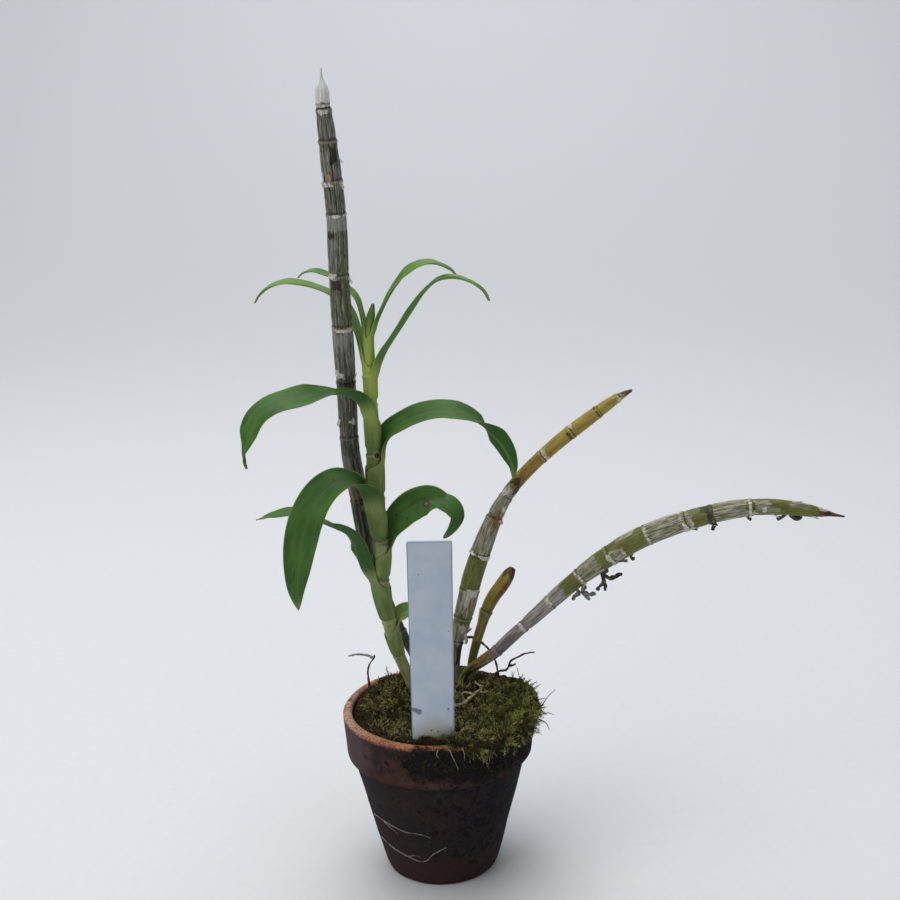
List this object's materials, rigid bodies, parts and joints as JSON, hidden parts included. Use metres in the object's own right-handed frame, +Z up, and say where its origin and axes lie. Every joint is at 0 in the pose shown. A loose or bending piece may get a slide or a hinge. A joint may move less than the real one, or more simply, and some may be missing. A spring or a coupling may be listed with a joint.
{
  "type": "dendrobium orchid in a clay pot",
  "caption": "Epiphytic orchid with jointed upright and arching canes, clasping strap leaves, aerial roots, moss and a bare plant label, growing in a small tapered clay pot.",
  "frame": {"origin": "on the surface that it stands on, under the middle of the whole part's box; the pot's axis is at X -36.6 mm, Y 5.7 mm", "axes": "+Z up along the pot's axis, +X to the side that the arching cane reaches over, +Y to the back, away from the label"},
  "size_m": [0.2042, 0.0814, 0.286],
  "materials": {
    "terracotta": "unglazed, weathered, with pale bloom, specks and an orange rim",
    "bark_mix": "dark, damp, crumbly",
    "moss": "short dry strands, olive to brown",
    "label_plastic": "cool white, smooth, slightly soiled",
    "grey_cane": "old, ridged, with grey papery sheaths",
    "olive_cane": "smooth olive to golden skin, with pale papery rings",
    "green_stem": "fresh pale green, satin, with lighter rings",
    "leaf": "leathery, satin, darker below",
    "young_leaf": "leathery, satin, paler green",
    "dark_root": "dark, dry, wiry",
    "pale_root": "pale, dry, papery"
  },
  "bodies": {
    "root": {"pot": "terracotta", "potting_medium": "bark_mix", "moss_mat": "moss", "plant_label": "label_plastic", "clinging_root_upper": "pale_root", "clinging_root_lower": "pale_root", "rhizome": "dark_root", "old_cane_tall": "grey_cane", "new_growth_stem": "green_stem", "right_cane_upper": "olive_cane", "stub_cane": "olive_cane", "arching_cane": "olive_cane", "leaf_upper_left": "young_leaf", "leaf_top_left": "young_leaf", "leaf_top_right": "young_leaf", "leaf_upper_right": "young_leaf", "leaf_middle_left": "leaf", "leaf_middle_right": "leaf", "leaf_lower_left": "leaf", "leaf_lower_right": "leaf", "leaf_back_left": "leaf", "leaf_low_right": "young_leaf", "aerial_root_left": "dark_root", "aerial_root_loop": "dark_root", "aerial_root_right": "dark_root", "creeping_root": "pale_root"}
  },
  "joints": []
}
